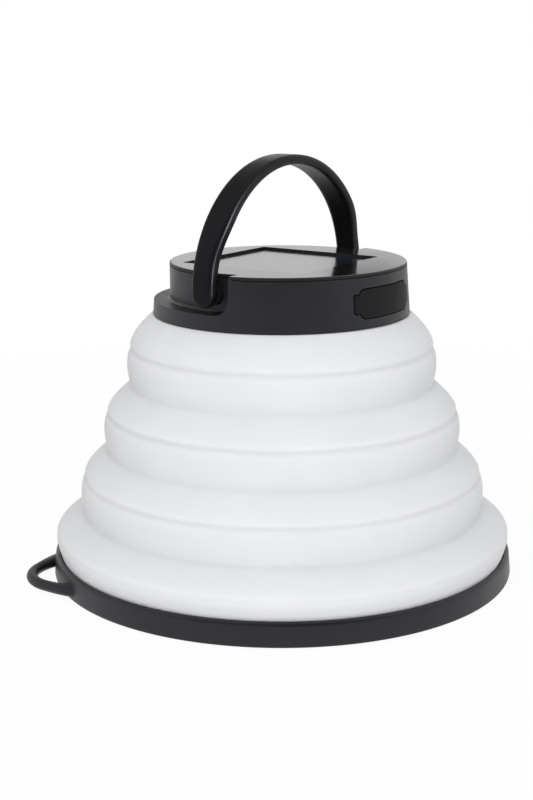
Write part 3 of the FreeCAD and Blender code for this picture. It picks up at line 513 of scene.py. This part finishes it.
def makeLoop(s):
    # an oval section led round the loop's arc, wider towards the roots
    turn = math.radians(s["loopTurn"])
    outwards = Vector((math.sin(turn), -math.cos(turn), 0))
    sideways = Vector((-outwards.y, outwards.x, 0))
    middle = outwards * s["loopMiddle"] + Vector((0, 0, s["loopLevel"]))

    def sectionPlace(angle):
        return outwards * math.cos(angle) + sideways * math.sin(angle)

    def growth(angle):
        share = (abs(math.degrees(angle)) - s["rootStart"]) / (s["loopReach"] - s["rootStart"])
        share = max(0.0, share)
        return 1 + s["rootGrowth"] * share * share

    angle = -math.radians(s["loopReach"])
    change = 2 * math.radians(s["loopReach"]) / s["loopSteps"]
    towards = sectionPlace(angle)
    inner = middle + towards * (s["loopRadius"] - s["loopBand"] / 2)
    deselectAll()
    bpy.ops.mesh.primitive_circle_add(vertices=s["loopPoints"], radius=s["loopBand"] / 2, fill_type="NGON",
                                      location=middle + towards * s["loopRadius"],
                                      rotation=(math.pi / 2, 0, math.atan2(towards.y, towards.x)))
    bpy.ops.object.mode_set(mode="EDIT")
    bpy.ops.mesh.select_all(action="SELECT")
    bpy.ops.transform.resize(value=(1, 1, s["loopThick"] / s["loopBand"]), center_override=middle)
    width = growth(angle)
    bpy.ops.transform.resize(value=(width, width, 1), center_override=inner)
    for step in range(s["loopSteps"]):
        bpy.ops.mesh.extrude_region_move(TRANSFORM_OT_translate={"value": (0, 0, 0)})
        bpy.ops.transform.rotate(value=-change, orient_axis="Z", center_override=middle)
        angle += change
        inner = middle + sectionPlace(angle) * (s["loopRadius"] - s["loopBand"] / 2)
        share = growth(angle) / width
        width = growth(angle)
        bpy.ops.transform.resize(value=(share, share, 1), center_override=inner)
    faceOutwards()
    return settle("loopPiece")


def makeBaseRing(s):
    loop = makeLoop(s)
    turnRings(ringProfile(s), s["points"])
    bpy.ops.mesh.select_all(action="SELECT")
    bpy.ops.mesh.remove_doubles(threshold=s["merge"])
    faceOutwards()
    piece = settle("baseRing")
    loop.select_set(True)
    piece.select_set(True)
    bpy.context.view_layer.objects.active = piece
    bpy.ops.object.join()
    bpy.ops.object.shade_smooth_by_angle(angle=math.radians(s["smoothTurn"]))
    piece.data.materials.append(materials["black_plastic"])
    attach(piece, "base")
    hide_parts("base_ring")
    return piece


ringPiece = makeBaseRing(ringSettings)
print("base ring made:", len(ringPiece.data.polygons), "faces")


# bail handle, wider at the front above the head

handleSettings = {
    "merge": 0.000002,
    "grid": 0.0003, "calming": 24,         # spacing of the even mesh, and rounds of smoothing over it
    "calmingShare": 0.5,
    "edge": 0.0024,                        # points at least this far ahead of the middle move in full
    "growth": 0.0016,
    "growthStart": 0.1010, "growthEnd": 0.1150,   # levels between which the strap grows wider
    "smoothTurn": 50.0,
}


def eased(value, start, end):
    # 0 before the start, 1 after the end, and a smooth rise between them
    share = min(1.0, max(0.0, (value - start) / (end - start)))
    return share * share * (3 - 2 * share)


def makeHandle(s):
    # a copy of the strap whose front edge is drawn forward above the head
    deselectAll()
    piece = bpy.data.objects.new("bailHandle", nodes["handle"].data.copy())
    piece.matrix_world = nodes["handle"].matrix_world
    bpy.context.scene.collection.objects.link(piece)
    piece.select_set(True)
    bpy.context.view_layer.objects.active = piece
    bpy.ops.mesh.customdata_custom_splitnormals_clear()
    bpy.ops.object.mode_set(mode="EDIT")
    bpy.ops.mesh.select_all(action="SELECT")
    bpy.ops.mesh.remove_doubles(threshold=s["merge"])
    piece = settle("bailHandle")
    applyModifier(piece, "REMESH", "even", mode="VOXEL", voxel_size=s["grid"])
    applyModifier(piece, "SMOOTH", "calm", factor=s["calmingShare"], iterations=s["calming"])
    front = piece.vertex_groups.new(name="front")
    for point in piece.data.vertices:
        high = eased(point.co.z, s["growthStart"], s["growthEnd"])
        ahead = min(1.0, max(0.0, -point.co.y / s["edge"]))
        front.add([point.index], ahead * high, "REPLACE")
    applyModifier(piece, "DISPLACE", "wider", direction="Y", strength=-s["growth"], mid_level=0.0,
                  vertex_group="front")
    bpy.ops.object.shade_smooth_by_angle(angle=math.radians(s["smoothTurn"]))
    piece.data.materials.clear()
    piece.data.materials.append(materials["black_handle"])
    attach(piece, "handle")
    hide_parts("handle")
    return piece


handlePiece = makeHandle(handleSettings)
print("handle made:", len(handlePiece.data.polygons), "faces")


# floor, light and camera

stageSettings = {
    "floorSize": 6.0, "floorCells": 4, "floorLevel": -0.0001,
    "floorWhite": 0.90, "floorGlow": 0.94,
    "floorNear": 0.16, "floorFar": 0.42,   # the floor turns from shaded to plain white between these
    "worldFill": 0.58,
    "lamps": {                             # place, size and power
        "keyLamp": ((-1.02, -0.69, 0.55), 0.8, 10.2),
        "topLamp": ((0.00, 0.00, 1.30), 1.0, 2.5),
    },
    "stripPlace": (0.05, -0.90, 0.32), "stripSize": (0.24, 0.55), "stripPower": 28.0,
    "cards": (                             # place, size, glow, and dark core across it, 2 for all
        ((-0.81, -0.555, 0.69), (2.4, 1.4), 0.12, 2.0),                # on the camera's side
        ((0.55, 0.75, 1.05), (2.0, 0.9), 0.35, 2.0),                   # high behind
        ((0.7205, 0.3979, 0.2436), (0.104, 0.056), 0.10, 0.5),         # low behind, mirrored in the lid
    ),
    "cardFade": 0.25,                      # share of a card over which it turns white again
    "aim": (0.0, 0.0, 0.06),
}


def showsBackground(tree):
    # 1 for rays that should see a plain white room: camera, mirror and glass rays
    path = tree.nodes.new("ShaderNodeLightPath")
    first = addNode(tree, "ShaderNodeMath", operation="MAXIMUM")
    second = addNode(tree, "ShaderNodeMath", operation="MAXIMUM")
    link(tree, path.outputs["Is Camera Ray"], first.inputs[0])
    link(tree, path.outputs["Is Glossy Ray"], first.inputs[1])
    link(tree, first.outputs[0], second.inputs[0])
    link(tree, path.outputs["Is Transmission Ray"], second.inputs[1])
    return second.outputs[0]


def makeFloor(s):
    deselectAll()
    bpy.ops.mesh.primitive_grid_add(x_subdivisions=s["floorCells"], y_subdivisions=s["floorCells"],
                                    size=s["floorSize"], location=(0, 0, s["floorLevel"]))
    floor = settle("floor")
    material, tree, shader, place = startMaterial("floorWhite")
    tree.nodes.remove(shader)
    paint = addNode(tree, "ShaderNodeBsdfDiffuse", {"Color": rgba((s["floorWhite"],) * 3)})
    glow = addNode(tree, "ShaderNodeEmission", {"Strength": 1.0})
    away = addNode(tree, "ShaderNodeVectorMath", operation="LENGTH")
    fade = addNode(tree, "ShaderNodeMapRange", {
        "From Min": s["floorNear"], "From Max": s["floorFar"], "To Min": s["floorGlow"], "To Max": 1.0})
    share = addNode(tree, "ShaderNodeMath", operation="MULTIPLY")
    link(tree, place.outputs["Object"], away.inputs[0])
    link(tree, away.outputs["Value"], fade.inputs["Value"])
    link(tree, fade.outputs["Result"], share.inputs[1])
    mix = tree.nodes.new("ShaderNodeMixShader")
    link(tree, showsBackground(tree), share.inputs[0])
    link(tree, share.outputs[0], mix.inputs["Fac"])
    link(tree, paint.outputs[0], mix.inputs[1])
    link(tree, glow.outputs[0], mix.inputs[2])
    face = tree.nodes.new("ShaderNodeNewGeometry")
    clear = tree.nodes.new("ShaderNodeBsdfTransparent")
    seen = tree.nodes.new("ShaderNodeMixShader")   # clear from below, so that the underside shows
    link(tree, face.outputs["Backfacing"], seen.inputs["Fac"])
    link(tree, mix.outputs[0], seen.inputs[1])
    link(tree, clear.outputs[0], seen.inputs[2])
    linkSurface(tree, seen.outputs[0])
    floor.data.materials.append(material)


def makeWorld(s):
    world = bpy.data.worlds.new("studio")
    bpy.context.scene.world = world
    world.use_nodes = True
    tree = world.node_tree
    background = next(node for node in tree.nodes if node.type == "BACKGROUND")
    background.inputs["Color"].default_value = (1, 1, 1, 1)
    strength = addNode(tree, "ShaderNodeMapRange", {"To Min": s["worldFill"], "To Max": 1.0})
    link(tree, showsBackground(tree), strength.inputs["Value"])
    link(tree, strength.outputs["Result"], background.inputs["Strength"])


def aimed(place, aim):
    return (Vector(aim) - Vector(place)).to_track_quat("-Z", "Y").to_euler()


def makeLamp(name, place, size, power, aim):
    # a soft round lamp that doesn't show in mirrored faces
    lamp = bpy.data.lights.new(name, "AREA")
    lamp.shape = "DISK"
    lamp.size = size
    lamp.energy = power
    holder = bpy.data.objects.new(name, lamp)
    bpy.context.scene.collection.objects.link(holder)
    holder.location = place
    holder.rotation_euler = aimed(place, aim)
    holder.visible_camera = False
    holder.visible_glossy = False
    return holder


def makeStrip(s):
    # a tall lamp for the shine along the handle's rounded edges only
    strip = makeLamp("stripLamp", s["stripPlace"], s["stripSize"][0], s["stripPower"], s["aim"])
    strip.data.shape = "RECTANGLE"
    strip.data.size_y = s["stripSize"][1]
    strip.visible_glossy = True
    strip.visible_diffuse = False
    lit = bpy.data.collections.new("stripLit")
    lit.objects.link(handlePiece)
    strip.light_linking.receiver_collection = lit


def makeCard(s, place, size, glow, core):
    # a dark card seen by mirrored faces only, white again outside its core
    deselectAll()
    bpy.ops.mesh.primitive_plane_add(size=1.0, location=place, rotation=aimed(place, s["aim"]))
    bpy.context.object.scale = (size[0], size[1], 1)
    card = settle("card")
    material, tree, shader, coordinates = startMaterial("cardDark")
    tree.nodes.remove(shader)
    cardMiddle = (0.5, 0.5, 0.0)
    offset = addNode(tree, "ShaderNodeVectorMath", {1: cardMiddle}, operation="SUBTRACT")
    away = addNode(tree, "ShaderNodeVectorMath", operation="LENGTH")
    fade = addNode(tree, "ShaderNodeMapRange", {
        "From Min": core / 2, "From Max": core / 2 + s["cardFade"], "To Min": glow, "To Max": 1.0})
    shine = tree.nodes.new("ShaderNodeEmission")
    link(tree, coordinates.outputs["UV"], offset.inputs[0])
    link(tree, offset.outputs[0], away.inputs[0])
    link(tree, away.outputs["Value"], fade.inputs["Value"])
    link(tree, fade.outputs["Result"], shine.inputs["Strength"])
    linkSurface(tree, shine.outputs[0])
    card.data.materials.append(material)
    card.visible_camera = False
    card.visible_diffuse = False
    card.visible_transmission = False
    card.visible_shadow = False


makeFloor(stageSettings)
makeWorld(stageSettings)
for lampName, (lampPlace, lampSize, lampPower) in stageSettings["lamps"].items():
    makeLamp(lampName, lampPlace, lampSize, lampPower, stageSettings["aim"])
makeStrip(stageSettings)
for cardPlace, cardSize, cardGlow, cardCore in stageSettings["cards"]:
    makeCard(stageSettings, cardPlace, cardSize, cardGlow, cardCore)

cameraSettings = {
    "place": (-0.38097, -0.26086, 0.16333),
    "turn": (76.6777, 0.2806, -55.0659),   # degrees
    "lens": 67.0, "film": 36.0,            # millimetres
    "nearest": 0.01,
}
cameraData = bpy.data.cameras.new("camera")
cameraData.lens = cameraSettings["lens"]
cameraData.sensor_width = cameraSettings["film"]
cameraData.clip_start = cameraSettings["nearest"]
camera = bpy.data.objects.new("camera", cameraData)
camera.location = cameraSettings["place"]
camera.rotation_euler = [math.radians(angle) for angle in cameraSettings["turn"]]
bpy.context.scene.collection.objects.link(camera)
bpy.context.scene.camera = camera
bpy.context.scene.view_settings.view_transform = "Standard"
print("stage set")
